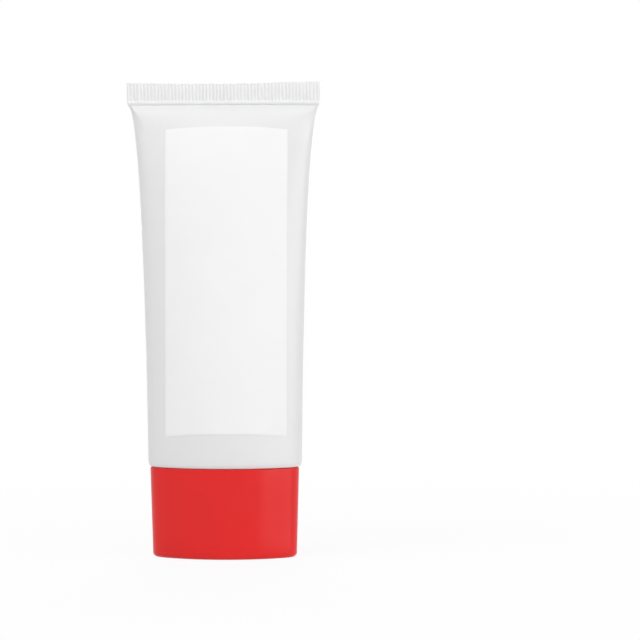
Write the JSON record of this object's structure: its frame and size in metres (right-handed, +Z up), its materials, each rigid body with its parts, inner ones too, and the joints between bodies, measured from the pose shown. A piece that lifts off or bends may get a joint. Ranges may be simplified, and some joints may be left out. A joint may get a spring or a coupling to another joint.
{
  "type": "sunscreen tube",
  "caption": "Squeeze tube with an oval shoulder, a flat ribbed seal and a blank front label, standing on its oval screw cap",
  "frame": {"origin": "middle of the cap's flat base, which the tube stands on", "axes": "+Z up along the tube from the cap to the seal, +X to the right along the wide side, and the label faces -Y"},
  "size_m": [0.0546, 0.0217, 0.1345],
  "materials": {
    "sleeve": "satin",
    "head": "satin",
    "label": "satin",
    "lotion": "satin",
    "cap": "satin",
    "inner_cap": "satin",
    "wad": "matte"
  },
  "bodies": {
    "cap": {"cap_shell": "cap", "cap_inner": "inner_cap"},
    "seal": {"sealing_disc": "wad"},
    "tube": {"tube_sleeve": "sleeve", "tube_head": "head", "front_label": "label", "lotion_fill": "lotion"}
  },
  "joints": [
    {"name": "cap_turn", "type": "hinge", "parent": "cap", "child": "seal", "pos_m": [0, 0, 0.0136], "axis": [0, 0, 1], "range_deg": [0, 1080]},
    {"name": "tube_rise", "type": "slide", "parent": "seal", "child": "tube", "axis": [0, 0, 1], "range_m": [0, 0.009]}
  ],
  "couplings": [
    {"joint": "tube_rise", "follows": "cap_turn", "m_per_rad": 0.00047746}
  ]
}
